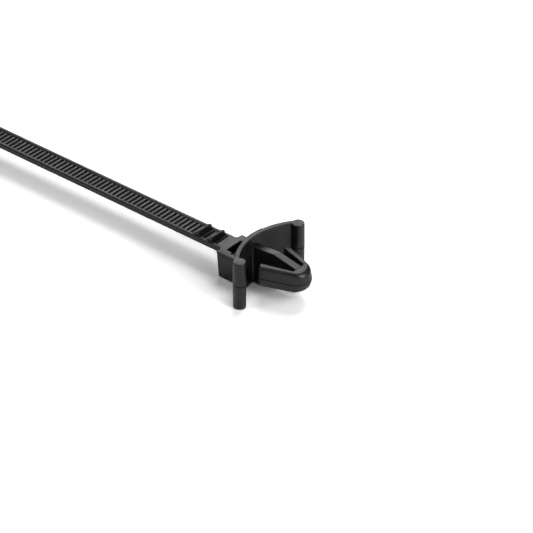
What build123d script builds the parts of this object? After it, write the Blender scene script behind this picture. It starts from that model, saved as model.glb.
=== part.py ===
from build123d import *
from math import asin, cos, degrees, radians, sin, sqrt, tan
import os

# One-piece push-mount cable tie, in millimetres.
# The arrowhead points along +X and the strap runs along -X from the head.
# The origin is on the arrowhead's axis, in the plane of the panel that the two posts press on.
# Z = 0 is the plane where the two halves of the mould met.

# Strap
strap_length = 150.0          # from the head's face to the tail's tip, along the strap
strap_width = 4.6
strap_thickness = 1.12
strap_edge_radius = 0.3
rail_width = 0.55             # flat top of the plain rail along each edge
rail_slope = 0.3              # width of the rail's sloping inner side
land_drop = 0.25              # how far the teeth's tops lie below the rails' tops
straight_length = 58.0        # stretch of the strap that leaves the head level
sag_length = 60.0             # stretch over which the strap comes down to lie flat
tail_taper_length = 14.0
tail_tip_width = 2.2
tail_tip_radius = 0.8
tail_plain_length = 17.0      # stretch at the tip without teeth

# Teeth of the strap
tooth_pitch = 1.0
groove_length = 0.55
groove_depth = 0.3
groove_flat = 0.14            # flat bottom of a groove
groove_wall_lean = 0.05       # draft of the tooth's locking face
first_groove = 1.64           # from the head's face to the middle of the first groove

# Ribs across the strap that grip the bundle
rib_feet = (2.4, 5.5)       # from the head's face to each rib's steep side
rib_height = 0.82             # above the rails
rib_width = 3.6
rib_ramp_length = 1.15
rib_crest_length = 0.18
rib_back_lean = 0.16
rib_crest_radius = 0.08
rib_end_radius = 0.3

# Head
head_face_to_panel = 10.45    # from the head's face to the panel plane
head_width = 7.0
head_depth_below = 4.65       # below the parting plane
head_face_lean = 0.42
head_rim_step = 0.04          # the rim over the parting plane stands out by this much
head_edge_radius = 0.2
head_bottom_radius = 0.25
rim_edge_radius = 0.12
root_flare = 0.6              # radius in plan where the strap widens into the head

# Strap slot and pawl, inside the head
head_front_wall = 1.18        # from the head's face to the pawl's recess
recess_length = 1.25
recess_width = 3.8
channel_clearance = 0.4       # over the strap's thickness
channel_side_clearance = 0.05 # each side of the strap
slot_lead_in = 0.15
pawl_width = 2.6
pawl_thickness = 0.7
pawl_hinge_depth = 1.6        # from the head's top to the pawl's hinge
pawl_length = 2.5
pawl_tooth_depth = 0.25
pawl_teeth = 2

# Wing
wing_half_height = 4.75
wing_outer_radius = 12.7
wing_thickness = 0.85
wing_apex_to_panel = 5.15     # from the outer face at the middle to the panel plane
wing_pad_width = 5.0
wing_pad_height = 0.17
wing_edge_radius = 0.12
post_radius = 1.2
post_spacing = 15.92
post_draft = 0.5              # degrees, each way from the parting plane
post_edge_radius = 0.15

# Arrowhead
fin_thickness = 1.5
fin_root_half_height = 2.75
fin_crest_half_height = 3.15
fin_crest_x = 0.65
fin_root_fillet = 0.45
fin_edge_radius = 0.12
arrow_height_above = 2.2      # from the parting plane to the nose's and the barbs' flat top
arrow_height_below = 1.85     # from the parting plane to their flat bottom
arrow_draft = 5.0             # degrees, of the outer wall, each way from the parting plane
arrow_edge_radius = 0.7
nose_tip_x = 7.8
nose_radius = 2.6             # in plan, at the parting plane
barb_outer_slope = 20.5       # degrees
barb_inner_slope = 15.5       # degrees
barb_back_inner_x = -0.5      # the barb's end, at its inner side
barb_back_slope = 37.0        # degrees, of the barb's end across the axis
slot_end_x = 5.5              # where the slots beside the fin end
slot_end_width = 0.75
slot_end_radius = 0.25

overlap = 0.3                 # how far the pieces of the one moulding run into each other

# Levels and places that follow from the driving sizes
head_face_x = -head_face_to_panel
strap_top = strap_thickness / 2
land_top = strap_top - land_drop
teeth_width = strap_width - 2 * (rail_width + rail_slope)
wing_centre_x = wing_outer_radius - wing_apex_to_panel
wing_inner_radius = wing_outer_radius - wing_thickness
wing_inner_apex_x = wing_centre_x - wing_inner_radius
post_x = -post_radius
post_y = post_spacing / 2

# The strap's middle line: level, then two equal and opposite arcs down to the surface it lies on
strap_drop = wing_half_height - strap_thickness / 2
sag_radius = ((sag_length / 2) ** 2 + (strap_drop / 2) ** 2) / strap_drop
sag_turn = asin(sag_length / 2 / sag_radius)
flat_tail_length = strap_length - straight_length - 2 * sag_radius * sag_turn
sag_start_x = head_face_x - straight_length
sag_end_x = sag_start_x - sag_length
tail_tip_x = sag_end_x - flat_tail_length
arc_half_chord_drop = sag_radius - sqrt(sag_radius**2 - (sag_length / 4) ** 2)

with BuildLine(Plane.XZ) as strap_line:
    Line((head_face_x + overlap, 0), (sag_start_x, 0))
    ThreePointArc(
        (sag_start_x, 0),
        (sag_start_x - sag_length / 4, -arc_half_chord_drop),
        (sag_start_x - sag_length / 2, -strap_drop / 2),
    )
    ThreePointArc(
        (sag_start_x - sag_length / 2, -strap_drop / 2),
        (sag_end_x + sag_length / 4, -strap_drop + arc_half_chord_drop),
        (sag_end_x, -strap_drop),
    )
    Line((sag_end_x, -strap_drop), (tail_tip_x, -strap_drop))
strap_path = strap_line.wires()[0]


def point_on_strap(distance, height):
    """Point (x, z) at a distance from the head's face along the strap and a height over its middle."""
    share = (distance + overlap) / strap_path.length
    point = strap_path.position_at(share)
    direction = strap_path.tangent_at(share)
    return point.X + direction.Z * height, point.Z - direction.X * height


# Strap: one section carried along the middle line, thinned between its rails
with BuildPart() as strap:
    section_plane = Plane(origin=(head_face_x + overlap, 0, 0), x_dir=(0, -1, 0), z_dir=(-1, 0, 0))
    with BuildSketch(section_plane) as section:
        with BuildLine():
            Polyline(
                (-strap_width / 2, -strap_thickness / 2),
                (strap_width / 2, -strap_thickness / 2),
                (strap_width / 2, strap_top),
                (strap_width / 2 - rail_width, strap_top),
                (teeth_width / 2, land_top),
                (-teeth_width / 2, land_top),
                (-strap_width / 2 + rail_width, strap_top),
                (-strap_width / 2, strap_top),
                close=True,
            )
        make_face()
        outer_corners = section.vertices().filter_by(lambda v: abs(v.X) > strap_width / 2 - rail_width / 2)
        fillet(outer_corners, strap_edge_radius)
    sweep(path=strap_path)
    with BuildSketch(Plane.XY) as tail_plan:
        with BuildLine():
            Polyline(
                (0, strap_width),
                (tail_tip_x + tail_taper_length, strap_width),
                (tail_tip_x + tail_taper_length, strap_width / 2),
                (tail_tip_x, tail_tip_width / 2),
                (tail_tip_x, -tail_tip_width / 2),
                (tail_tip_x + tail_taper_length, -strap_width / 2),
                (tail_tip_x + tail_taper_length, -strap_width),
                (0, -strap_width),
                close=True,
            )
        make_face()
        tip_corners = tail_plan.vertices().group_by(Axis.X)[0]
        fillet(tip_corners, tail_tip_radius)
    extrude(amount=2 * wing_half_height, both=True, mode=Mode.INTERSECT)

# Grooves between the teeth: one comb that reaches down from the hollow between the rails
groove_count = int((strap_length - tail_plain_length - first_groove) / tooth_pitch) + 1
rib_length = rib_back_lean + rib_crest_length + rib_ramp_length
comb_top = strap_top + 1
comb_spine = land_top + land_drop / 4
groove_bottom = land_top - groove_depth
comb_outline = []
for step in range(groove_count):
    middle = first_groove + step * tooth_pitch
    head_side = middle - groove_length / 2
    locking_side = middle + groove_length / 2
    if all(locking_side < foot or head_side > foot + rib_length for foot in rib_feet):
        comb_outline += [
            point_on_strap(head_side, comb_spine),
            point_on_strap(head_side, land_top),
            point_on_strap(locking_side - groove_wall_lean - groove_flat, groove_bottom),
            point_on_strap(locking_side - groove_wall_lean, groove_bottom),
            point_on_strap(locking_side, land_top),
            point_on_strap(locking_side, comb_spine),
        ]
comb_end = first_groove + groove_count * tooth_pitch
comb_back = [
    point_on_strap(comb_end, comb_top),
    point_on_strap(straight_length + sag_length / 2, comb_top),
    point_on_strap(straight_length, comb_top),
    point_on_strap(first_groove - tooth_pitch / 2, comb_top),
]
with BuildPart() as grooves:
    with BuildSketch(Plane.XZ):
        with BuildLine():
            Polyline(*comb_outline, *comb_back, close=True)
        make_face()
    extrude(amount=teeth_width / 2, both=True)

# Ribs: a long ramp on the tail's side and a steep back on the head's side
rib_crest_z = strap_top + rib_height
with BuildPart() as ribs:
    with BuildSketch(Plane.XZ) as rib_sketch:
        for foot in rib_feet:
            foot_x = head_face_x - foot
            crest_x = foot_x - rib_back_lean - rib_crest_length
            with BuildLine():
                Polyline(
                    (foot_x, 0),
                    (foot_x, land_top),
                    (foot_x - rib_back_lean, rib_crest_z),
                    (crest_x, rib_crest_z),
                    (crest_x - rib_ramp_length, land_top),
                    (crest_x - rib_ramp_length, 0),
                    close=True,
                )
            make_face()
        fillet(rib_sketch.vertices().group_by(Axis.Y)[-1], rib_crest_radius)
    extrude(amount=rib_width / 2, both=True)
    with BuildSketch(Plane.YZ.offset(head_face_x)) as rib_end_view:
        with Locations((0, rib_crest_z)):
            Rectangle(rib_width, 2 * rib_crest_z, align=(Align.CENTER, Align.MAX))
        fillet(rib_end_view.vertices().group_by(Axis.Y)[-1], rib_end_radius)
    extrude(amount=-rib_feet[-1] - 2 * rib_length, mode=Mode.INTERSECT)

# Head: a box that hangs below the strap, with its rim above the parting plane
slot_start_x = head_face_x + head_front_wall
channel_start_x = slot_start_x + recess_length
channel_depth = strap_thickness + channel_clearance
channel_width = strap_width + 2 * channel_side_clearance
pawl_hinge_z = strap_top - pawl_hinge_depth
pawl_tip_z = pawl_hinge_z - pawl_length
head_back_x = wing_inner_apex_x - overlap
with BuildPart() as head:
    with BuildSketch(Plane.XZ):
        with BuildLine():
            Polyline(
                (head_face_x + head_rim_step, 0),
                (head_face_x + head_face_lean, -head_depth_below),
                (head_back_x, -head_depth_below),
                (head_back_x, 0),
                close=True,
            )
        make_face()
    extrude(amount=head_width / 2 - head_rim_step, both=True)
    head_front = head.faces().sort_by(Axis.X)[0]
    fillet(head_front.edges().sort_by(Axis.Y)[0], head_edge_radius)
    head_front = head.faces().sort_by(Axis.X)[0]
    fillet(head_front.edges().sort_by(Axis.Y)[-1], head_edge_radius)
    head_bottom = head.faces().sort_by(Axis.Z)[0]
    fillet(head_bottom.edges().filter_by(lambda e: e.center().X < head_back_x - overlap), head_bottom_radius)
    with BuildSketch(Plane.XY):
        with Locations((head_face_x, 0)):
            Rectangle(head_back_x - head_face_x, head_width, align=(Align.MIN, Align.CENTER))
    extrude(amount=strap_top)
    rim_top = head.faces().sort_by(Axis.Z)[-1]
    fillet(rim_top.edges().filter_by(lambda e: e.center().X < head_back_x - overlap), rim_edge_radius)
    with BuildSketch(Plane.XY.offset(strap_top)):
        with Locations((slot_start_x, 0)):
            Rectangle(recess_length + channel_depth, recess_width, align=(Align.MIN, Align.CENTER))
        with Locations((channel_start_x, 0)):
            Rectangle(channel_depth, channel_width, align=(Align.MIN, Align.CENTER))
    extrude(amount=-2 * wing_half_height, mode=Mode.SUBTRACT)
    slot_mouth = head.faces().sort_by(Axis.Z)[-1].inner_wires()[0]
    chamfer(slot_mouth.edges(), slot_lead_in)

# Pawl: hinged high on the recess's wall, its tip leaning towards the strap's channel
with BuildPart() as pawl:
    with BuildSketch(Plane.XZ):
        with BuildLine():
            Polyline(
                (slot_start_x - overlap, pawl_hinge_z),
                (slot_start_x + overlap, pawl_hinge_z),
                (channel_start_x, pawl_tip_z + pawl_teeth * tooth_pitch),
                (channel_start_x, pawl_tip_z),
                (channel_start_x - pawl_thickness, pawl_tip_z),
                (slot_start_x, pawl_hinge_z - pawl_thickness),
                (slot_start_x - overlap, pawl_hinge_z - pawl_thickness),
                close=True,
            )
        make_face()
        for tooth in range(pawl_teeth):
            tooth_z = pawl_tip_z + tooth * tooth_pitch
            with BuildLine():
                Polyline(
                    (channel_start_x - overlap, tooth_z),
                    (channel_start_x, tooth_z),
                    (channel_start_x + pawl_tooth_depth, tooth_z + groove_wall_lean),
                    (channel_start_x, tooth_z + tooth_pitch - groove_flat),
                    (channel_start_x - overlap, tooth_z + tooth_pitch - groove_flat),
                    close=True,
                )
            make_face()
    extrude(amount=pawl_width / 2, both=True)

# Wing: a curved spring plate with a thicker pad at the head
with BuildPart() as wing:
    end_angle = degrees(asin(post_y / wing_inner_radius))
    with BuildSketch(Plane.XY):
        with BuildLine():
            outer = CenterArc((wing_centre_x, 0), wing_outer_radius, 180 - end_angle, 2 * end_angle)
            inner = CenterArc((wing_centre_x, 0), wing_inner_radius, 180 - end_angle, 2 * end_angle)
            Line(outer @ 0, inner @ 0)
            Line(outer @ 1, inner @ 1)
        make_face()
    extrude(amount=wing_half_height, both=True)
    with BuildSketch(Plane.XY):
        with Locations((wing_centre_x, 0)):
            Circle(wing_outer_radius + wing_pad_height)
            Circle(wing_inner_radius, mode=Mode.SUBTRACT)
            Rectangle(
                2 * wing_outer_radius, wing_pad_width, align=(Align.MAX, Align.CENTER), mode=Mode.INTERSECT
            )
    extrude(amount=wing_half_height, both=True)
    wing_ends = wing.faces().filter_by(Plane.XY).group_by(Axis.Z)
    fillet(wing_ends[0].edges() + wing_ends[-1].edges(), wing_edge_radius)

# Post along each end of the wing, drafted both ways from the parting plane
with BuildPart() as post:
    with BuildSketch(Plane.XY):
        with Locations((post_x, post_y)):
            Circle(post_radius)
    extrude(amount=wing_half_height, both=True, taper=post_draft)
    fillet(post.faces().filter_by(Plane.XY).edges(), post_edge_radius)

# Arrowhead's wall: one drafted profile, turned round the nose and carried straight back along both barbs
nose_centre_x = nose_tip_x - nose_radius
barb_turn = radians(barb_outer_slope)
wall_top = nose_radius - arrow_height_above * tan(radians(arrow_draft))
wall_bottom = nose_radius - arrow_height_below * tan(radians(arrow_draft))
barb_length = (nose_centre_x + nose_radius * sin(barb_turn) - barb_back_inner_x) / cos(barb_turn)
slot_wall_y = fin_thickness / 2 + slot_end_width
barb_back_inner_y = slot_wall_y + tan(radians(barb_inner_slope)) * (slot_end_x - barb_back_inner_x)
barb_back_reach = 2 * nose_radius
barb_back_outer_x = barb_back_inner_x + barb_back_reach * sin(radians(barb_back_slope))
barb_back_outer_y = barb_back_inner_y + barb_back_reach * cos(radians(barb_back_slope))
wall_plane = Plane(
    origin=(nose_centre_x, 0, 0),
    x_dir=(sin(barb_turn), cos(barb_turn), 0),
    z_dir=(cos(barb_turn), -sin(barb_turn), 0),
)
with BuildPart() as barb:
    with BuildSketch(wall_plane) as wall_profile:
        with BuildLine():
            Polyline(
                (0, -arrow_height_below),
                (wall_bottom, -arrow_height_below),
                (nose_radius, 0),
                (wall_top, arrow_height_above),
                (0, arrow_height_above),
                close=True,
            )
        make_face()
        wall_corners = wall_profile.vertices().filter_by(lambda v: v.X > nose_radius / 2 and v.Y != 0)
        fillet(wall_corners, arrow_edge_radius)
    extrude(amount=-barb_length)
with BuildPart() as arrowhead:
    add(barb.part)
    add(mirror(barb.part, about=Plane.XZ, mode=Mode.PRIVATE))
    add(wall_profile.sketch)
    revolve(
        axis=Axis((nose_centre_x, 0, 0), (0, 0, -1)),
        revolution_arc=180 - 2 * barb_outer_slope,
    )
    with BuildSketch(Plane.XY) as between_barbs:
        with BuildLine():
            half = [
                (slot_end_x, slot_wall_y),
                (barb_back_inner_x, barb_back_inner_y),
                (barb_back_outer_x, barb_back_outer_y),
                (-2 * nose_tip_x, barb_back_outer_y),
            ]
            Polyline(*half, *[(x, -y) for x, y in reversed(half)], close=True)
        make_face()
        fillet(between_barbs.vertices().group_by(Axis.X)[-1], slot_end_radius)
    extrude(amount=2 * arrow_height_above, both=True, mode=Mode.SUBTRACT)

# Fin: the tall web between the barbs, flared where it leaves the wing
fin_root_x = wing_inner_apex_x - wing_thickness / 2
with BuildPart() as fin:
    with BuildSketch(Plane.XZ):
        with BuildLine():
            Polyline(
                (fin_root_x, -fin_root_half_height),
                (fin_crest_x, -fin_crest_half_height),
                (slot_end_x, -arrow_height_below),
                (nose_centre_x + nose_radius / 2, 0),
                (slot_end_x, arrow_height_above),
                (fin_crest_x, fin_crest_half_height),
                (fin_root_x, fin_root_half_height),
                close=True,
            )
        make_face()
    extrude(amount=fin_thickness / 2, both=True)
    fin_sides = fin.faces().filter_by(Plane.XZ)
    fillet(fin_sides.edges().filter_by(lambda e: abs(e.center().Z) > arrow_height_above), fin_edge_radius)
    with BuildSketch(Plane.XY):
        flare_x = wing_inner_apex_x + fin_root_fillet
        flare_y = fin_thickness / 2 + fin_root_fillet
        with Locations((flare_x, 0)):
            Rectangle(flare_x - fin_root_x, 2 * flare_y, align=(Align.MAX, Align.CENTER))
        with Locations((flare_x, flare_y), (flare_x, -flare_y)):
            Circle(fin_root_fillet, mode=Mode.SUBTRACT)
    extrude(amount=fin_root_half_height, both=True)

# The whole moulding
with BuildPart() as cable_tie:
    add(strap.part)
    add(grooves.part, mode=Mode.SUBTRACT)
    add(ribs.part)
    root_start_x = head_face_x - first_groove + groove_length / 2
    with BuildSketch(Plane.XY):
        with Locations((root_start_x, 0)):
            Rectangle(
                head_face_x + overlap - root_start_x,
                teeth_width + 2 * rail_slope,
                align=(Align.MIN, Align.CENTER),
            )
    extrude(amount=strap_top)
    with BuildSketch(Plane.XY):
        flare_y = strap_width / 2 + root_flare
        with Locations((head_face_x - root_flare, 0)):
            Rectangle(root_flare + overlap, 2 * flare_y, align=(Align.MIN, Align.CENTER))
        with Locations((head_face_x - root_flare, flare_y), (head_face_x - root_flare, -flare_y)):
            Circle(root_flare, mode=Mode.SUBTRACT)
    extrude(amount=strap_thickness / 2, both=True)
    add(head.part)
    add(pawl.part)
    add(wing.part)
    add(post.part)
    add(mirror(post.part, about=Plane.XZ, mode=Mode.PRIVATE))
    add(arrowhead.part)
    add(fin.part)

cable_tie.part.label = "cable_tie"
os.makedirs("parts", exist_ok=True)
export_step(cable_tie.part, "parts/cable_tie.step")
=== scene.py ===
"""Push-mount cable tie of moulded black nylon, dressed for a studio picture.

Sizes are in millimetres in the classes below and become metres where a mesh is made. The tie lies as
it was moulded: arrowhead along +X, strap along -X, the mould's parting plane at Z = 0.
"""
import logging
import math
from dataclasses import dataclass, field
from enum import Enum

import bmesh
import bpy
import numpy as np
from mathutils import Matrix, Vector


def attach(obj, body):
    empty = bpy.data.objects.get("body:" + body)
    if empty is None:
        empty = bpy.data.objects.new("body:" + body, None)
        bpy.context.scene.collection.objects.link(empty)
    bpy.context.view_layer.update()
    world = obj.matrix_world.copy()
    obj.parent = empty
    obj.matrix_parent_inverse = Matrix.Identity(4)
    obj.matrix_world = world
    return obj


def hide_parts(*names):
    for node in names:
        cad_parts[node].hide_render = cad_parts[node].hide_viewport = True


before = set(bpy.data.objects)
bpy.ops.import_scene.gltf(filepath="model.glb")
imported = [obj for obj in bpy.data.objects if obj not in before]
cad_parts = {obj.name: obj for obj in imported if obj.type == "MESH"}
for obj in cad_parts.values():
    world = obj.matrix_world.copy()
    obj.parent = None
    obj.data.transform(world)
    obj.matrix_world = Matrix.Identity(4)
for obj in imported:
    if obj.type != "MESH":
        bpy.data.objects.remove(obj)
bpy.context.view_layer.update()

log = logging.getLogger("cable_tie")

MM = 0.001
MERGE_DISTANCE = 0.0002
SMOOTH_ANGLE = math.radians(32.0)


class Side(Enum):
    """The two sides of the tie, across the strap."""

    NEAR = -1
    FAR = 1


def linear_colour(hex_colour: str) -> tuple[float, float, float, float]:
    """Turn an sRGB hex colour into Blender's linear colour.

    Args:
        hex_colour: six hex digits after a hash sign.

    Returns:
        Red, green, blue and an alpha of one.
    """
    channels = np.array([int(hex_colour[k : k + 2], 16) for k in (1, 3, 5)]) / 255.0
    low = channels / 12.92
    high = ((channels + 0.055) / 1.055) ** 2.4
    red, green, blue = np.where(channels <= 0.04045, low, high)
    return float(red), float(green), float(blue), 1.0


def arc(centre: tuple[float, float], radius: float, start: float, end: float, steps: int) -> np.ndarray:
    """Points of a circular arc: centre plus radius times cosine and sine of an angle that runs evenly.

    Args:
        centre: the arc's centre.
        radius: its radius.
        start: first angle in degrees.
        end: last angle in degrees.
        steps: how many chords stand for the arc.

    Returns:
        An array of steps + 1 points.
    """
    angle = np.radians(np.linspace(start, end, steps + 1))
    return np.stack([centre[0] + radius * np.cos(angle), centre[1] + radius * np.sin(angle)], axis=1)


def grid_quads(rows: int, columns: int, rows_close: bool) -> np.ndarray:
    """Corner numbers of the quads between neighbouring rows of a grid whose columns close into a ring.

    Args:
        rows: how many rows the grid has.
        columns: how many points lie in a row.
        rows_close: whether the last row joins the first.

    Returns:
        An array with four corner numbers for each quad.
    """
    row_count = rows if rows_close else rows - 1
    row, column = np.meshgrid(np.arange(row_count), np.arange(columns), indexing="ij")
    row_after = (row + 1) % rows
    column_after = (column + 1) % columns
    corners = [
        row * columns + column,
        row * columns + column_after,
        row_after * columns + column_after,
        row_after * columns + column,
    ]
    return np.stack(corners, axis=-1).reshape(-1, 4)


def rounded_end(ring: np.ndarray, outward: np.ndarray, radius: float, steps: int = 3) -> np.ndarray:
    """Rows that close a tube's end with a rounded edge and a flat face.

    The ring shrinks towards its middle by radius times (1 - cos t) while it moves outwards by radius
    times sin t, as t goes from 0 to 90 degrees; the last row is the middle itself.

    Args:
        ring: the last row of the tube, an array of points.
        outward: direction in which the tube ends.
        radius: radius of the rounded edge.
        steps: rows over the rounded edge.

    Returns:
        An array of steps + 1 further rows.
    """
    middle = ring.mean(axis=0)
    from_middle = ring - middle
    reach = np.linalg.norm(from_middle, axis=1, keepdims=True)
    angle = np.radians(np.linspace(0.0, 90.0, steps + 1))[1:, None, None]
    shrunk = np.maximum(1.0 - radius * (1.0 - np.cos(angle)) / np.maximum(reach, radius), 0.0)
    rows = middle + from_middle * shrunk + outward * radius * np.sin(angle)
    last = np.repeat(rows[-1:].mean(axis=1, keepdims=True), ring.shape[0], axis=1)
    return np.concatenate([rows, last])


def capped(grid: np.ndarray) -> np.ndarray:
    """Close a tube's two ends with flat faces.

    Args:
        grid: the tube's points, as rows by columns by three.

    Returns:
        The grid with one more row at each end, all of it the end ring's middle.
    """
    start = np.repeat(grid[:1].mean(axis=1, keepdims=True), grid.shape[1], axis=1)
    last = np.repeat(grid[-1:].mean(axis=1, keepdims=True), grid.shape[1], axis=1)
    return np.concatenate([start, grid, last])


def closed_mesh(name: str, grid: np.ndarray, rows_close: bool = False) -> bpy.types.Object:
    """Make a closed shell of a grid of points whose columns close into a ring.

    Args:
        name: the new object's name.
        grid: points in millimetres, as rows by columns by three.
        rows_close: whether the last row joins the first; if not, the end rows are single points.

    Returns:
        The new object, at the origin, with its doubles merged and its faces outwards.
    """
    rows, columns, _ = grid.shape
    points = grid.reshape(-1, 3) * MM
    mesh = bpy.data.meshes.new(name)
    mesh.from_pydata(points.tolist(), [], grid_quads(rows, columns, rows_close).tolist())
    work = bmesh.new()
    work.from_mesh(mesh)
    bmesh.ops.remove_doubles(work, verts=work.verts, dist=MERGE_DISTANCE * MM)
    bmesh.ops.recalc_face_normals(work, faces=work.faces)
    work.to_mesh(mesh)
    work.free()
    piece = bpy.data.objects.new(name, mesh)
    bpy.context.scene.collection.objects.link(piece)
    return piece


@dataclass(frozen=True)
class PartingLine:
    """The fine groove that the mould's two halves left at Z = 0, drawn coarse enough to be seen."""

    depth: float = 0.13
    half_width: float = 0.1

    def levels(self) -> np.ndarray:
        """Depth into the wall and height of the groove's four corners, from top to bottom."""
        floor_half = self.half_width / 2
        upper = [[0.0, self.half_width], [self.depth, floor_half]]
        return np.array(upper + [[depth, -level] for depth, level in reversed(upper)])


@dataclass(frozen=True)
class StrapLine:
    """The strap's middle line: level, then two equal and opposite arcs down to the surface."""

    start_x: float = -10.45
    length: float = 150.0
    straight: float = 58.0
    sag_length: float = 60.0
    drop: float = 4.19

    def place(self, distance: np.ndarray) -> tuple[np.ndarray, np.ndarray, np.ndarray]:
        """Place and slope of the line at distances along it.

        Each arc turns its heading evenly: x falls with the sine and z with one minus the cosine.

        Args:
            distance: distances from the head's face.

        Returns:
            The x, the z and the downward slope in radians.
        """
        radius = ((self.sag_length / 2) ** 2 + (self.drop / 2) ** 2) / self.drop
        turn = math.asin(self.sag_length / 2 / radius)
        past_level = (distance - self.straight) / radius
        first = np.clip(past_level, 0.0, turn)
        second = np.clip(past_level - turn, 0.0, turn)
        rest = np.maximum(distance - self.straight - 2 * radius * turn, 0.0)
        second_run = radius * (math.sin(turn) - np.sin(turn - second))
        x = self.start_x - np.minimum(distance, self.straight) - radius * np.sin(first) - second_run - rest
        z = -radius * (1.0 - np.cos(first)) - radius * (np.cos(turn - second) - math.cos(turn))
        return x, z, first - second


@dataclass
class Strap:
    """Strap with a ladder of teeth between plain rails, and two ribs that grip the bundle."""

    line: StrapLine = field(default_factory=StrapLine)
    width: float = 4.6
    thickness: float = 1.12
    edge_radius: float = 0.3
    rail_width: float = 0.55
    rail_slope: float = 0.3
    land_drop: float = 0.25
    tooth_pitch: float = 1.0
    groove_length: float = 0.55
    groove_depth: float = 0.3
    groove_flat: float = 0.14
    groove_wall_lean: float = 0.05
    groove_edge: float = 0.025
    first_groove: float = 1.64
    rib_feet: tuple[float, float] = (2.4, 5.5)
    rib_height: float = 0.82
    rib_width: float = 3.6
    rib_ramp: float = 1.15
    rib_crest: float = 0.18
    rib_lean: float = 0.16
    rib_end_radius: float = 0.3
    tail_plain: float = 17.0
    tail_taper: float = 14.0
    tail_tip_width: float = 2.2
    tail_tip_radius: float = 0.8
    root_flare: float = 0.6
    root_depth: float = 0.3
    wall: float = 0.03
    corner_steps: int = 4
    parting: PartingLine = PartingLine(depth=0.05, half_width=0.08)

    @property
    def top(self) -> float:
        """Height of the rails' tops over the middle line."""
        return self.thickness / 2

    @property
    def land(self) -> float:
        """Height of the teeth's tops over the middle line."""
        return self.top - self.land_drop

    @property
    def teeth_half(self) -> float:
        """Half of the width across the teeth."""
        return self.width / 2 - self.rail_width - self.rail_slope

    @property
    def root_end(self) -> float:
        """Distance at which the plain root ends and the first groove begins."""
        return self.first_groove - self.groove_length / 2

    def groove_middles(self) -> np.ndarray:
        """Middles of all grooves that stay clear of the ribs, as distances along the strap."""
        count = int((self.line.length - self.tail_plain - self.first_groove) / self.tooth_pitch) + 1
        middles = self.first_groove + np.arange(count) * self.tooth_pitch
        half = self.groove_length / 2
        rib_length = self.rib_lean + self.rib_crest + self.rib_ramp
        feet = np.array(self.rib_feet)[:, None]
        clear = (middles + half < feet) | (middles - half > feet + rib_length)
        return middles[clear.all(axis=0)]

    def groove_profile(self) -> tuple[np.ndarray, np.ndarray]:
        """Depth across one groove: a long slope, a flat bottom and a steep locking wall, edges eased.

        Returns:
            Distances from the groove's middle, and the depth at each.
        """
        half = self.groove_length / 2
        wall_foot = half - self.groove_wall_lean
        edge = self.groove_edge
        places = [-half - edge, -half + edge, wall_foot - self.groove_flat]
        places += [wall_foot, half - edge / 2, half + edge]
        depths = [0.0, 0.6 * edge, self.groove_depth, self.groove_depth, 1.5 * edge, 0.0]
        return np.array(places), np.array(depths)

    def rib_profile(self) -> tuple[np.ndarray, np.ndarray]:
        """Height along one rib: a steep back, a rounded crest and a long ramp.

        Returns:
            Distances from the rib's foot, and the height over the middle line at each.
        """
        crest_z = self.top + self.rib_height
        ease = self.rib_crest / 3
        ends = [0.0, self.rib_lean - ease / 2, self.rib_lean + ease / 2]
        ends += [self.rib_lean + self.rib_crest - ease / 2, self.rib_lean + self.rib_crest + 2 * ease]
        ends += [self.rib_lean + self.rib_crest + self.rib_ramp]
        ramp_fall = (crest_z - self.land) * 2 * ease / self.rib_ramp
        heights = [self.land, crest_z - 1.2 * ease, crest_z, crest_z, crest_z - ramp_fall, self.land]
        return np.array(ends), np.array(heights)

    def stations(self) -> np.ndarray:
        """Distances along the strap at which its section is worked out: close at every edge."""
        groove_places, _ = self.groove_profile()
        rib_places, _ = self.rib_profile()
        grooves = (self.groove_middles()[:, None] + groove_places).ravel()
        ribs = (np.array(self.rib_feet)[:, None] + rib_places).ravel()
        root = np.linspace(0.0, self.root_flare, 7)
        end = self.line.length
        tail = np.linspace(end - self.tail_plain, end - self.tail_tip_radius, 24)
        tip = end - self.tail_tip_radius * (1.0 - np.sin(np.radians(np.linspace(0.0, 84.0, 8))))
        root_wall = [-self.root_depth, self.root_end - self.wall, self.root_end]
        return np.unique(np.round(np.concatenate([root_wall, root, grooves, ribs, tail, tip]), 5))

    def top_height(self, distance: np.ndarray, across: np.ndarray) -> np.ndarray:
        """Height of the toothed side as a function of the distance along and the place across.

        It is the dished section less the groove's depth, or the rib where that stands higher.

        Args:
            distance: distances along the strap, as a column.
            across: places across the strap, as a row.

        Returns:
            Heights over the middle line.
        """
        sideways = np.abs(across)
        slope_span = [self.teeth_half, self.teeth_half + self.rail_slope]
        dish = np.interp(sideways, slope_span, [self.land, self.top])
        base = np.where(distance < self.root_end - self.wall / 2, self.top, dish)
        middles = self.groove_middles()
        nearest = middles[np.abs(distance - middles).argmin(axis=1)][:, None]
        places, depths = self.groove_profile()
        depth = np.interp(distance - nearest, places, depths)
        depth = np.where(distance < self.root_end - self.wall / 2, 0.0, depth)
        surface = base - depth * np.clip((self.teeth_half - sideways) / self.wall, 0.0, 1.0)
        rib_places, rib_heights = self.rib_profile()
        half = self.rib_width / 2
        past_flat = np.clip(sideways - (half - self.rib_end_radius), 0.0, self.rib_end_radius)
        end_drop = self.rib_end_radius - np.sqrt(self.rib_end_radius**2 - past_flat**2)
        limit = self.top + self.rib_height - end_drop
        for foot in self.rib_feet:
            rib = np.interp(distance - foot, rib_places, rib_heights, left=0.0, right=0.0)
            surface = np.where(sideways <= half, np.maximum(surface, np.minimum(rib, limit)), surface)
        return surface

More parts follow.
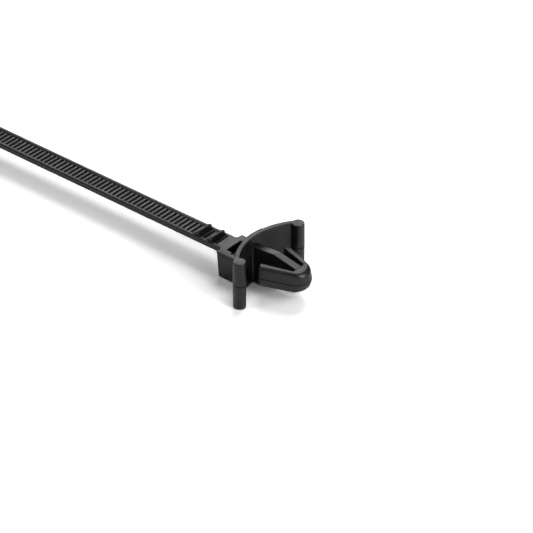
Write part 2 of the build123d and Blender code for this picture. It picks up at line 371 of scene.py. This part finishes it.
    def section(self) -> tuple[np.ndarray, np.ndarray, int]:
        """Points round the plain section.

        Returns:
            Places across, heights, and how many of the first ones lie on the toothed side.
        """
        corner = self.width / 2 - self.edge_radius
        level = self.top - self.edge_radius
        rib_half = self.rib_width / 2
        rib_end = rib_half - self.rib_end_radius * (1.0 - np.sin(np.radians([0.0, 30.0, 55.0, 75.0])))
        steps = [0.0, self.teeth_half / 2, self.teeth_half - self.wall, self.teeth_half]
        steps += [self.teeth_half + self.rail_slope, rib_half, rib_half + self.wall, corner]
        half = np.unique(np.round(np.concatenate([steps, rib_end]), 4))
        top = np.concatenate([-half[:0:-1], half])
        far_top = arc((corner, level), self.edge_radius, 90.0, 0.0, self.corner_steps)[1:]
        far_bottom = arc((corner, -level), self.edge_radius, 0.0, -90.0, self.corner_steps)
        groove = self.parting.levels()
        far_side = np.column_stack([self.width / 2 - groove[:, 0], groove[:, 1]])
        far = np.concatenate([far_top, far_side, far_bottom])
        rest = np.concatenate([far, far[::-1] * [-1.0, 1.0]])
        across = np.concatenate([top, rest[:, 0]])
        height = np.concatenate([np.full(top.size, self.top), rest[:, 1]])
        return across, height, top.size

    def half_width(self, distance: np.ndarray) -> np.ndarray:
        """Half of the strap's width along it: plain, then tapered, then rounded at the tip."""
        end = self.line.length
        half = np.interp(distance, [end - self.tail_taper, end], [self.width / 2, self.tail_tip_width / 2])
        r = self.tail_tip_radius
        left = np.clip(end - distance, 0.0, r)
        rounding = r - np.sqrt(r**2 - (r - left) ** 2)
        return half - rounding

    def build(self) -> bpy.types.Object:
        """Carry the section along the line and close both ends.

        Returns:
            The strap as a closed shell.
        """
        distance = self.stations()[:, None]
        across, height, top_count = self.section()
        heights = np.broadcast_to(height, (distance.size, across.size)).copy()
        heights[:, :top_count] = self.top_height(distance, across[None, :top_count])
        narrow = self.half_width(distance) / (self.width / 2)
        near_head = np.clip(self.root_flare - distance, 0.0, self.root_flare)
        flare = self.root_flare - np.sqrt(self.root_flare**2 - near_head**2)
        rail_start = self.width / 2 - self.rail_width
        on_rail = np.clip((np.abs(across) - rail_start) / self.rail_width, 0.0, 1.0)
        sideways = across * narrow + np.sign(across) * on_rail * flare
        x, z, slope = self.line.place(distance)
        points = [x - np.sin(slope) * heights, sideways, z + np.cos(slope) * heights]
        grid = np.stack(points, axis=-1)
        return closed_mesh("strap", capped(grid))


@dataclass
class Head:
    """Locking head: a box below the strap with a rim over the parting plane and the strap's slot."""

    face_x: float = -10.45
    back_x: float = -4.62
    width: float = 7.0
    top: float = 0.56
    bottom: float = -4.65
    face_lean: float = 0.42
    rim_step: float = 0.04
    rim_bottom: float = 0.22
    rim_groove: float = 0.2
    rim_gap: float = 0.17
    rim_radius: float = 0.12
    edge_radius: float = 0.2
    bottom_radius: float = 0.25
    front_wall: float = 1.18
    recess_length: float = 1.25
    recess_width: float = 3.8
    channel_length: float = 1.52
    channel_width: float = 4.7
    lead_in: float = 0.15

    @property
    def slot_x(self) -> float:
        """Where the slot's recess starts."""
        return self.face_x + self.front_wall

    @property
    def channel_x(self) -> float:
        """Where the recess ends and the strap's channel starts."""
        return self.slot_x + self.recess_length

    def slot_outline(self) -> np.ndarray:
        """Corners of the slot in plan: the pawl's recess and the wider channel of the strap."""
        recess = self.recess_width / 2
        channel = self.channel_width / 2
        end_x = self.channel_x + self.channel_length
        far = [(end_x, channel), (self.channel_x, channel), (self.channel_x, recess), (self.slot_x, recess)]
        near = [(x, -y) for x, y in reversed(far)]
        return np.array(far + near)

    def outer_outline(self) -> np.ndarray:
        """Outline of the head in plan, with rounded upright edges at its front."""
        half = self.width / 2
        r = self.edge_radius
        far = arc((self.face_x + r, half - r), r, 90.0, 180.0, 4)
        near = arc((self.face_x + r, -half + r), r, 180.0, 270.0, 4)
        back = np.array([(self.back_x, -half), (self.back_x, half)])
        return np.concatenate([back[1:], far, near, back[:1]])

    @staticmethod
    def reach(outline: np.ndarray, centre: np.ndarray, angle: np.ndarray) -> np.ndarray:
        """Distance from a centre to an outline round it, at given angles.

        Args:
            outline: corners in turn, seen anticlockwise from the centre.
            centre: a point from which the whole outline is seen.
            angle: angles in radians, rising.

        Returns:
            The distances, read off between close points laid along the outline's sides.
        """
        following = np.roll(outline, -1, axis=0)
        share = np.linspace(0.0, 1.0, 400, endpoint=False)[None, :, None]
        dense = (outline[:, None] * (1.0 - share) + following[:, None] * share).reshape(-1, 2) - centre
        turned = np.arctan2(dense[:, 1], dense[:, 0])
        order = np.argsort(turned)
        return np.interp(angle, turned[order], np.linalg.norm(dense, axis=1)[order], period=2 * math.pi)

    def build(self) -> bpy.types.Object:
        """Carry a closed upright profile, outer wall and slot wall, round the slot's middle.

        Returns:
            The head as a closed shell with a hole through it.
        """
        centre = np.array([self.channel_x + self.channel_length / 4, 0.0])
        corners = np.concatenate([self.slot_outline(), self.outer_outline()]) - centre
        corner_angles = np.arctan2(corners[:, 1], corners[:, 0])
        even_angles = np.radians(np.arange(-180.0, 180.0, 4.0))
        angle = np.unique(np.round(np.concatenate([corner_angles, even_angles]), 5))
        inner = self.reach(self.slot_outline(), centre, angle)
        outer = self.reach(self.outer_outline(), centre, angle)
        direction = np.stack([np.cos(angle), np.sin(angle)], axis=1)
        rim = arc((self.rim_radius, self.top - self.rim_radius), self.rim_radius, 90.0, 180.0, 3)
        foot_level = self.bottom + self.bottom_radius
        inset = self.rim_step + self.bottom_radius
        foot = arc((inset, foot_level), self.bottom_radius, 180.0, 270.0, 4)
        groove_depth = self.rim_step + self.rim_groove
        gap_top, gap_foot = self.rim_bottom, self.rim_bottom - self.rim_gap
        ease = self.rim_gap / 5
        step = [(0.0, gap_top), (groove_depth, gap_top - ease), (groove_depth, gap_foot + ease)]
        step.append((self.rim_step, gap_foot))
        wall = np.concatenate([rim, step, foot])
        depth, level = wall[:, :1], wall[:, 1:]
        outer_xy = centre + direction * outer[:, None]
        length = self.back_x - self.face_x
        below = np.clip((self.rim_bottom - level) / (self.rim_bottom - self.bottom), 0.0, 1.0)
        squeeze_x = 1.0 - (depth + self.face_lean * below) / length
        squeeze_y = 1.0 - depth / (self.width / 2)
        wall_x = self.back_x - (self.back_x - outer_xy[:, 0]) * squeeze_x
        wall_y = outer_xy[:, 1] * squeeze_y
        wall_z = np.broadcast_to(level, wall_x.shape)
        outer_rows = np.stack([wall_x, wall_y, wall_z], axis=-1)
        slot_levels = [(0.0, self.bottom), (0.0, self.top - self.lead_in), (self.lead_in, self.top)]
        slot_rows = [
            np.column_stack([centre + direction * (inner + extra)[:, None], np.full(angle.size, z)])
            for extra, z in slot_levels
        ]
        grid = np.concatenate([outer_rows, np.stack(slot_rows)])
        return closed_mesh("head", grid, rows_close=True)


@dataclass
class Pawl:
    """Sprung tongue inside the slot, with two teeth that catch the strap's own."""

    root_x: float = -9.57
    wall_x: float = -9.27
    tip_x: float = -8.02
    hinge_z: float = -1.04
    length: float = 2.5
    thickness: float = 0.7
    width: float = 2.6
    tooth_pitch: float = 1.0
    tooth_depth: float = 0.25
    tooth_share: float = 0.8
    tooth_undercut: float = 0.05

    def build(self) -> bpy.types.Object:
        """Carry a flat section, front and back edge, down the tongue.

        Returns:
            The pawl as a closed shell.
        """
        tip_z = self.hinge_z - self.length
        teeth_top = tip_z + 2 * self.tooth_pitch
        tooth_x = self.tip_x + self.tooth_depth
        front = [(self.root_x, self.hinge_z), (self.wall_x, self.hinge_z), (self.tip_x, teeth_top)]
        for tooth in (1, 0):
            low = tip_z + tooth * self.tooth_pitch
            slope_start = low + self.tooth_share * self.tooth_pitch
            front += [(self.tip_x, slope_start), (tooth_x, low + self.tooth_undercut), (self.tip_x, low)]
        back_foot = self.hinge_z - self.thickness
        back_x = self.tip_x - self.thickness
        back = [(self.root_x, back_foot), (self.wall_x, back_foot)]
        back_places = np.linspace(0.0, 1.0, len(front) - 2)[1:]
        run, fall = back_x - self.wall_x, tip_z - back_foot
        back += [(self.wall_x + run * t, back_foot + fall * t) for t in back_places]
        back += [(back_x, tip_z)]
        front_edge, back_edge = np.array(front), np.array(back)
        half = self.width / 2
        corners = [(front_edge, half), (front_edge, -half), (back_edge, -half), (back_edge, half)]
        ring = [np.column_stack([edge[:, 0], np.full(len(edge), y), edge[:, 1]]) for edge, y in corners]
        grid = np.stack(ring, axis=1)
        return closed_mesh("pawl", capped(grid))


@dataclass
class Wing:
    """Curved spring plate with a thicker pad at the head."""

    outer_radius: float = 12.7
    thickness: float = 0.85
    apex_to_panel: float = 5.15
    half_height: float = 4.75
    pad_width: float = 5.0
    pad_height: float = 0.17
    edge_radius: float = 0.12
    end_y: float = 7.96

    @property
    def centre_x(self) -> float:
        """The arc's centre, on the arrowhead's axis."""
        return self.outer_radius - self.apex_to_panel

    def build(self) -> bpy.types.Object:
        """Carry a rounded rectangle along the arc; its outer side steps out over the pad.

        Returns:
            The wing as a closed shell.
        """
        r, h = self.edge_radius, self.half_height
        inner_radius = self.outer_radius - self.thickness
        end = math.degrees(math.asin(self.end_y / inner_radius))
        pad = math.degrees(math.asin(self.pad_width / 2 / self.outer_radius))
        ramp = math.degrees(self.pad_height / 2 / self.outer_radius)
        edges = [-pad - ramp, -pad, pad, pad + ramp]
        turn = np.unique(np.round(np.concatenate([np.linspace(-end, end, 97), edges]), 4))[:, None]
        rise = np.interp(np.abs(turn), [pad, pad + ramp], [self.pad_height, 0.0])
        outer = np.concatenate([arc((-r, h - r), r, 90.0, 0.0, 3), arc((-r, -h + r), r, 0.0, -90.0, 3)])
        inner = np.concatenate([arc((r, -h + r), r, 270.0, 180.0, 3), arc((r, h - r), r, 180.0, 90.0, 3)])
        outer_reach = self.outer_radius + rise + outer[:, 0]
        inner_reach = np.broadcast_to(inner_radius + inner[:, 0], (turn.size, len(inner)))
        reach = np.concatenate([outer_reach, inner_reach], axis=1)
        angle = np.radians(180.0 - turn)
        height = np.broadcast_to(np.concatenate([outer[:, 1], inner[:, 1]]), reach.shape)
        grid = np.stack([self.centre_x + reach * np.cos(angle), reach * np.sin(angle), height], axis=-1)
        return closed_mesh("wing", capped(grid))


@dataclass
class Post:
    """Round bead along the wing's end, which presses on the panel, drafted from the parting plane."""

    side: Side
    radius: float = 1.2
    spacing: float = 15.92
    half_height: float = 4.75
    draft: float = 0.5
    edge_radius: float = 0.15
    parting: PartingLine = field(default_factory=PartingLine)

    def build(self) -> bpy.types.Object:
        """Turn the upright profile about the post's own axis.

        Returns:
            The post as a closed shell.
        """
        slope = math.tan(math.radians(self.draft))
        end_radius = self.radius - self.half_height * slope
        r = self.edge_radius
        top_edge = arc((end_radius - r, self.half_height - r), r, 90.0, 0.0, 4)
        groove = self.parting.levels()
        middle = np.column_stack([self.radius - groove[:, 0], groove[:, 1]])
        pole = np.array([[0.0, self.half_height]])
        upper = np.concatenate([pole, top_edge])
        lower = upper[::-1] * [1.0, -1.0]
        profile = np.concatenate([upper, middle, lower])
        angle = np.radians(np.arange(0.0, 360.0, 7.5))
        x = -self.radius + profile[:, :1] * np.cos(angle)
        y = self.side.value * self.spacing / 2 + profile[:, :1] * np.sin(angle)
        z = np.broadcast_to(profile[:, 1:], x.shape)
        return closed_mesh(f"post_{self.side.name.lower()}", np.stack([x, y, z], axis=-1))


@dataclass
class Arrowhead:
    """Nose and two barbs: one drafted wall, rounder at the nose, carried back along both barbs."""

    height_above: float = 2.2
    height_below: float = 1.85
    draft: float = 5.0
    edge_radius: float = 0.6
    nose_edge_radius: float = 1.2
    inner_edge_radius: float = 0.08
    end_radius: float = 0.1
    tip_x: float = 7.8
    nose_radius: float = 2.6
    outer_slope: float = 20.5
    inner_slope: float = 15.5
    back_inner_x: float = -0.5
    back_slope: float = 28.0
    slot_end_x: float = 5.5
    slot_wall_y: float = 1.5
    slot_end_radius: float = 0.25
    parting: PartingLine = field(default_factory=PartingLine)

    @property
    def nose_x(self) -> float:
        """Centre of the nose's plan circle."""
        return self.tip_x - self.nose_radius

    def outer_edge(self) -> tuple[np.ndarray, np.ndarray]:
        """Outer edge in plan at the parting plane, from the tip to the far barb's end, and its normals.

        The nose turns on a circle up to the barb's slope, and the barb goes on straight to where the
        line of its end meets it.

        Returns:
            Points and unit normals.
        """
        slope = math.radians(self.outer_slope)
        turn = np.radians(np.linspace(0.0, 90.0 - self.outer_slope, 25))
        turn_normals = np.stack([np.cos(turn), np.sin(turn)], axis=1)
        nose = np.array([self.nose_x, 0.0]) + self.nose_radius * turn_normals
        back_slope = math.radians(self.back_slope)
        normal = turn_normals[-1]
        back_start = self.barb_back()
        back_way = np.array([math.sin(back_slope), math.cos(back_slope)])
        reach = ((nose[-1] - back_start) @ normal) / (back_way @ normal)
        end = back_start + back_way * reach
        length = (nose[-1, 0] - end[0]) / math.cos(slope)
        share = np.linspace(0.0, 1.0, 13)[1:, None]
        barb = nose[-1] + share * length * np.array([-math.cos(slope), math.sin(slope)])
        normals = np.concatenate([turn_normals, np.repeat(normal[None], len(barb), axis=0)])
        return np.concatenate([nose, barb]), normals

    def barb_back(self) -> np.ndarray:
        """Inner corner of the far barb's end."""
        rise = math.tan(math.radians(self.inner_slope)) * (self.slot_end_x - self.back_inner_x)
        return np.array([self.back_inner_x, self.slot_wall_y + rise])

    def inner_edge(self) -> np.ndarray:
        """Inner edge in plan, from the middle of the slots' end to the far barb's end.

        Returns:
            As many points as the outer edge has.
        """
        r = self.slot_end_radius
        corner = arc((self.slot_end_x - r, self.slot_wall_y - r), r, 0.0, 90.0 - self.inner_slope, 6)
        across = np.linspace((self.slot_end_x, 0.0), corner[0], 19)[:-1]
        share = np.linspace(0.0, 1.0, 13)[1:, None]
        barb = corner[-1] + share * (self.barb_back() - corner[-1])
        return np.concatenate([across, corner, barb])

    def build(self) -> bpy.types.Object:
        """Carry the section from one barb's end round the nose to the other's.

        Returns:
            The arrowhead as a closed shell.
        """
        outer, normals = self.outer_edge()
        inner = self.inner_edge()
        above, below, s = self.height_above, self.height_below, self.inner_edge_radius
        slope = math.tan(math.radians(self.draft))
        towards_nose = np.clip((normals[:, 0] - normals[-1, 0]) / (1.0 - normals[-1, 0]), 0.0, 1.0)
        radius = self.edge_radius + (self.nose_edge_radius - self.edge_radius) * towards_nose
        walls = []
        for r in radius:
            top_edge = arc((above * slope + r, above - r), r, 90.0, 180.0 - self.draft, 8)
            bottom_edge = arc((below * slope + r, -below + r), r, 180.0 + self.draft, 270.0, 8)
            walls.append(np.concatenate([top_edge, self.parting.levels(), bottom_edge]))
        wall = np.stack(walls)
        lip_bottom = arc((s, -below + s), s, 270.0, 180.0, 2)
        lip_top = arc((s, above - s), s, 180.0, 90.0, 2)
        lip = np.concatenate([lip_bottom, lip_top])
        across = outer - inner
        across /= np.linalg.norm(across, axis=1, keepdims=True)
        wall_xy = outer[:, None] - normals[:, None] * wall[:, :, :1]
        lip_xy = inner[:, None] + across[:, None] * lip[:, :1]
        half_xy = np.concatenate([wall_xy, lip_xy], axis=1)
        lip_z = np.broadcast_to(lip[:, 1], lip_xy.shape[:2])
        half = np.dstack([half_xy, np.concatenate([wall[:, :, 1], lip_z], axis=1)])
        other = half[:0:-1] * [1.0, -1.0, 1.0]
        grid = np.concatenate([other, half])
        back_slope = math.radians(self.back_slope)
        near_end = np.array([-math.cos(back_slope), -math.sin(back_slope), 0.0])
        far_end = near_end * [1.0, -1.0, 1.0]
        start = rounded_end(grid[0] - near_end * self.end_radius, near_end, self.end_radius)[::-1]
        finish = rounded_end(grid[-1] - far_end * self.end_radius, far_end, self.end_radius)
        grid[0] -= near_end * self.end_radius
        grid[-1] -= far_end * self.end_radius
        return closed_mesh("arrowhead", np.concatenate([start, grid, finish]))


@dataclass
class Fin:
    """Tall web between the barbs, flared where it leaves the wing, with a deeper foot below its root."""

    root_x: float = -4.7
    wing_x: float = -4.3
    thickness: float = 1.5
    root_height: float = 2.75
    foot_depth: float = 4.7
    foot_end_x: float = -2.2
    crest_height: float = 3.15
    crest_x: float = 0.65
    crest_half_length: float = 0.35
    crest_ease: float = 0.03
    nose_x: float = 6.4
    nose_height: float = 0.8
    slot_end_x: float = 5.5
    height_above: float = 2.2
    height_below: float = 1.85
    flare: float = 0.45
    edge_radius: float = 0.16

    def build(self) -> bpy.types.Object:
        """Carry a rounded upright rectangle along the axis; its height and flare follow the axis.

        Returns:
            The fin as a closed shell.
        """
        flare_end = self.wing_x + self.flare
        flare_x = flare_end - self.flare * np.sin(np.radians(np.linspace(0.0, 80.0, 6)))
        crest = self.crest_x + np.linspace(-self.crest_half_length, self.crest_half_length, 7)
        stations = [self.root_x, self.wing_x, self.foot_end_x, 3.0, self.slot_end_x, self.nose_x]
        x = np.unique(np.round(np.concatenate([stations, flare_x, crest]), 4))[:, None]
        into_flare = np.clip(flare_end - x, 0.0, self.flare)
        half = self.thickness / 2 + self.flare - np.sqrt(self.flare**2 - into_flare**2)
        crest_span = [self.wing_x, self.crest_x, self.slot_end_x, self.nose_x]
        crest_heights = [self.root_height, self.crest_height, self.height_above, self.nose_height]
        above = np.interp(x, crest_span, crest_heights)
        foot_span = [self.foot_end_x, self.crest_x, self.slot_end_x, self.nose_x]
        foot_depths = [self.foot_depth, self.crest_height, self.height_below, self.nose_height]
        below = np.interp(x, foot_span, foot_depths)
        near_crest = np.clip(1.0 - np.abs(x - self.crest_x) / self.crest_half_length, 0.0, 1.0)
        crest_ease = self.crest_ease * near_crest**2
        r = self.edge_radius
        top = np.concatenate([arc((0.0, 0.0), r, 180.0, 90.0, 3), arc((0.0, 0.0), r, 90.0, 0.0, 3)])
        bottom = np.concatenate([arc((0.0, 0.0), r, 0.0, -90.0, 3), arc((0.0, 0.0), r, -90.0, -180.0, 3)])
        side = np.repeat([-1.0, 1.0], 4)
        top_y = side * (half - r) + top[:, 0]
        bottom_y = -side * (half - r) + bottom[:, 0]
        top_z = above - crest_ease - r + top[:, 1]
        bottom_z = -below + crest_ease + r + bottom[:, 1]
        y = np.concatenate([top_y, bottom_y], axis=1)
        z = np.concatenate([top_z, bottom_z], axis=1)
        grid = np.stack([np.broadcast_to(x, y.shape), y, z], axis=-1)
        return closed_mesh("fin", capped(grid))


@dataclass(frozen=True)
class MouldedNylon:
    """Black nylon 6/6, injection moulded in a spark-eroded tool: a satin skin with a fine even grain."""

    colour: str = "#0f1011"
    worn_colour: str = "#18191a"
    ior: float = 1.53
    roughness: float = 0.34
    roughness_swing: float = 0.08
    grain_mm: float = 0.16
    flow_mm: float = 2.4
    grain_height_mm: float = 0.006

    def material(self) -> bpy.types.Material:
        """Build the material: fine grain as bump, and slow flow marks in colour and roughness.

        Returns:
            The new material.
        """
        made = bpy.data.materials.new("moulded_black_nylon")
        made.use_nodes = True
        tree = made.node_tree
        tree.nodes.clear()
        place = add_node(tree, "ShaderNodeTexCoord")
        flow = add_node(
            tree,
            "ShaderNodeTexNoise",
            {"Scale": 1.0 / (self.flow_mm * MM), "Detail": 3.0, "Roughness": 0.55},
            {"Vector": place.outputs["Object"]},
        )
        grain = add_node(
            tree,
            "ShaderNodeTexNoise",
            {"Scale": 1.0 / (self.grain_mm * MM), "Detail": 2.0, "Roughness": 0.6},
            {"Vector": place.outputs["Object"]},
        )
        tint = add_node(tree, "ShaderNodeValToRGB", {}, {"Fac": flow.outputs["Fac"]})
        tint.color_ramp.elements[0].position = 0.35
        tint.color_ramp.elements[0].color = linear_colour(self.colour)
        tint.color_ramp.elements[1].position = 0.75
        tint.color_ramp.elements[1].color = linear_colour(self.worn_colour)
        gloss = add_node(
            tree,
            "ShaderNodeMapRange",
            {
                "From Min": 0.3,
                "From Max": 0.7,
                "To Min": self.roughness - self.roughness_swing,
                "To Max": self.roughness + self.roughness_swing,
            },
            {"Value": flow.outputs["Fac"]},
        )
        bump = add_node(
            tree,
            "ShaderNodeBump",
            {"Strength": 0.5, "Distance": self.grain_height_mm * MM},
            {"Height": grain.outputs["Fac"]},
        )
        shader = add_node(
            tree,
            "ShaderNodeBsdfPrincipled",
            {"IOR": self.ior},
            {
                "Base Color": tint.outputs["Color"],
                "Roughness": gloss.outputs["Result"],
                "Normal": bump.outputs["Normal"],
            },
        )
        add_node(tree, "ShaderNodeOutputMaterial", {}, {"Surface": shader.outputs["BSDF"]})
        return made


def add_node(
    tree: bpy.types.NodeTree,
    kind: str,
    values: dict[str, float] | None = None,
    links: dict[str, bpy.types.NodeSocket] | None = None,
) -> bpy.types.Node:
    """Add a node, set its sockets and link its inputs.

    Args:
        tree: the node tree.
        kind: Blender's name of the node's type.
        values: what each named input socket is set to.
        links: which output feeds each named input socket.

    Returns:
        The new node.
    """
    node = tree.nodes.new(kind)
    for name, value in (values or {}).items():
        node.inputs[name].default_value = value
    for name, source in (links or {}).items():
        tree.links.new(source, node.inputs[name])
    return node


@dataclass
class CableTie:
    """The whole moulding: every form above, fused into one closed skin."""

    finish: MouldedNylon = field(default_factory=MouldedNylon)
    strap: Strap = field(default_factory=Strap)
    head: Head = field(default_factory=Head)
    pawl: Pawl = field(default_factory=Pawl)
    wing: Wing = field(default_factory=Wing)
    arrowhead: Arrowhead = field(default_factory=Arrowhead)
    fin: Fin = field(default_factory=Fin)
    node: str = "cable_tie"
    body: str = "root"
    slot: str = "black_nylon"

    @staticmethod
    def apply_modifiers(piece: bpy.types.Object) -> None:
        """Replace a piece's mesh with what its modifiers make of it."""
        evaluated = piece.evaluated_get(bpy.context.evaluated_depsgraph_get())
        made = bpy.data.meshes.new_from_object(evaluated)
        piece.modifiers.clear()
        piece.data = made

    def fuse(self, base: bpy.types.Object, other: bpy.types.Object) -> None:
        """Unite another shell with the base and delete it.

        Args:
            base: the shell that stays.
            other: the shell that joins it.
        """
        union = base.modifiers.new("union", "BOOLEAN")
        union.operation = "UNION"
        union.solver = "MANIFOLD"
        union.object = other
        self.apply_modifiers(base)
        bpy.data.objects.remove(other)

    def build(self) -> bpy.types.Object:
        """Build the forms, fuse them and dress the skin.

        Returns:
            The finished piece.
        """
        whole = self.arrowhead.build()
        makers = [self.fin, self.wing, Post(Side.NEAR), Post(Side.FAR), self.head, self.pawl, self.strap]
        for maker in makers:
            form = maker.build()
            log.info("%s: %d faces", form.name, len(form.data.polygons))
            self.fuse(whole, form)
        whole.data.shade_smooth()
        whole.data.set_sharp_from_angle(angle=SMOOTH_ANGLE)
        flats = whole.modifiers.new("flats", "WEIGHTED_NORMAL")
        flats.keep_sharp = True
        self.apply_modifiers(whole)
        whole.name = "cable_tie_moulding"
        whole.data.name = whole.name
        whole.data.materials.clear()
        whole.data.materials.append(self.finish.material())
        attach(whole, self.body)
        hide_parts(self.node)
        log.info("%s: %d faces in all", whole.name, len(whole.data.polygons))
        return whole


@dataclass(frozen=True)
class Softbox:
    """Soft lamp that faces the tie: where it hangs, its width and height, and its power in watts."""

    name: str
    azimuth: float
    elevation: float
    width: float
    height: float
    power: float
    distance: float = 600.0


@dataclass
class Studio:
    """A plain white table between five soft lamps, with the camera at the photograph's angle."""

    floor_size: float = 1400.0
    floor_z: float = -4.75
    floor_colour: str = "#f4f4f4"
    camera_azimuth: float = 40.07
    camera_elevation: float = 34.21
    camera_distance: float = 512.6
    camera_shift: tuple[float, float] = (-1.36, 0.05)
    camera_lens: float = 197.8
    floor_exposure: float = 1.85
    lamps: tuple[Softbox, ...] = (
        Softbox("key_lamp", azimuth=200.0, elevation=62.0, width=260.0, height=260.0, power=1.12),
        Softbox("back_lamp", azimuth=220.0, elevation=32.0, width=440.0, height=220.0, power=0.82),
        Softbox("right_lamp", azimuth=92.0, elevation=42.0, width=460.0, height=260.0, power=0.9),
        Softbox("low_lamp", azimuth=94.0, elevation=20.0, width=200.0, height=140.0, power=1.5),
        Softbox("front_lamp", azimuth=330.0, elevation=40.0, width=260.0, height=260.0, power=0.75),
    )
    sky_light: float = 0.05

    @staticmethod
    def direction(azimuth: float, elevation: float) -> Vector:
        """Unit vector from the object towards an azimuth, from -Y round by +X, and an elevation."""
        turn, rise = math.radians(azimuth), math.radians(elevation)
        return Vector((math.sin(turn) * math.cos(rise), -math.cos(turn) * math.cos(rise), math.sin(rise)))

    def floor(self) -> None:
        """Lay the table at the height of the tie's lowest point."""
        half = self.floor_size / 2 * MM
        corners = [(-half, -half), (half, -half), (half, half), (-half, half)]
        mesh = bpy.data.meshes.new("table")
        mesh.from_pydata([(x, y, self.floor_z * MM) for x, y in corners], [], [(0, 1, 2, 3)])
        table = bpy.data.objects.new("table", mesh)
        bpy.context.scene.collection.objects.link(table)
        table.data.materials.append(self.board())

    @staticmethod
    def exposed_mix(
        tree: bpy.types.NodeTree, plain: bpy.types.Node, exposed: bpy.types.Node
    ) -> bpy.types.Node:
        """Mix two shaders: the first lights the tie, the second is what the camera sees directly.

        Args:
            tree: the node tree.
            plain: the shader for light on its way to the tie.
            exposed: the shader for the camera.

        Returns:
            The mixing node.
        """
        ray = add_node(tree, "ShaderNodeLightPath")
        mix = tree.nodes.new("ShaderNodeMixShader")
        tree.links.new(ray.outputs["Is Camera Ray"], mix.inputs[0])
        tree.links.new(plain.outputs[0], mix.inputs[1])
        tree.links.new(exposed.outputs[0], mix.inputs[2])
        return mix

    def board(self) -> bpy.types.Material:
        """Matt white board, exposed brighter for the camera than the light that it sends to the tie."""
        material = bpy.data.materials.new("painted_board")
        material.use_nodes = True
        tree = material.node_tree
        tree.nodes.clear()
        white = linear_colour(self.floor_colour)
        plain = add_node(tree, "ShaderNodeBsdfDiffuse", {"Color": white})
        seen = tuple(channel * self.floor_exposure for channel in white[:3])
        exposed = add_node(tree, "ShaderNodeBsdfDiffuse", {"Color": (*seen, 1.0)})
        mix = self.exposed_mix(tree, plain, exposed)
        add_node(tree, "ShaderNodeOutputMaterial", {}, {"Surface": mix.outputs[0]})
        return material

    def light(self) -> None:
        """Hang the soft lamps round the tie, and set an even dim sky that the camera sees as white."""
        for lamp in self.lamps:
            data = bpy.data.lights.new(lamp.name, "AREA")
            data.shape = "RECTANGLE"
            data.size = lamp.width * MM
            data.size_y = lamp.height * MM
            data.energy = lamp.power
            hung = bpy.data.objects.new(lamp.name, data)
            towards = self.direction(lamp.azimuth, lamp.elevation)
            hung.location = towards * lamp.distance * MM
            hung.rotation_euler = towards.to_track_quat("Z", "Y").to_euler()
            bpy.context.scene.collection.objects.link(hung)
        world = bpy.data.worlds.new("sky")
        world.use_nodes = True
        tree = world.node_tree
        tree.nodes.clear()
        white = (1.0, 1.0, 1.0, 1.0)
        dim = add_node(tree, "ShaderNodeBackground", {"Color": white, "Strength": self.sky_light})
        bright = add_node(tree, "ShaderNodeBackground", {"Color": white, "Strength": 1.0})
        mix = self.exposed_mix(tree, dim, bright)
        add_node(tree, "ShaderNodeOutputWorld", {}, {"Surface": mix.outputs[0]})
        bpy.context.scene.world = world

    def camera(self) -> None:
        """Set the camera at the photograph's viewing angle, looking at the tie's own origin."""
        data = bpy.data.cameras.new("camera")
        data.sensor_width = 36.0
        data.lens = self.camera_lens
        data.clip_start = 0.01
        data.clip_end = 20.0
        camera = bpy.data.objects.new("camera", data)
        back = self.direction(self.camera_azimuth, self.camera_elevation)
        turn = math.radians(self.camera_azimuth)
        right = Vector((math.cos(turn), math.sin(turn), 0.0))
        up = back.cross(right)
        place = back * self.camera_distance + right * self.camera_shift[0] + up * self.camera_shift[1]
        axes = Matrix((right, up, back)).transposed().to_4x4()
        camera.matrix_world = Matrix.Translation(place * MM) @ axes
        bpy.context.scene.collection.objects.link(camera)
        bpy.context.scene.camera = camera

    def build(self) -> None:
        """Set up the floor, the lights, the camera and the plain view of colours."""
        self.floor()
        self.light()
        self.camera()
        bpy.context.scene.view_settings.view_transform = "Standard"


def main() -> None:
    """Build the tie and its studio."""
    logging.basicConfig(level=logging.INFO, format="%(name)s: %(message)s")
    CableTie().build()
    Studio().build()


if __name__ == "__main__":
    main()
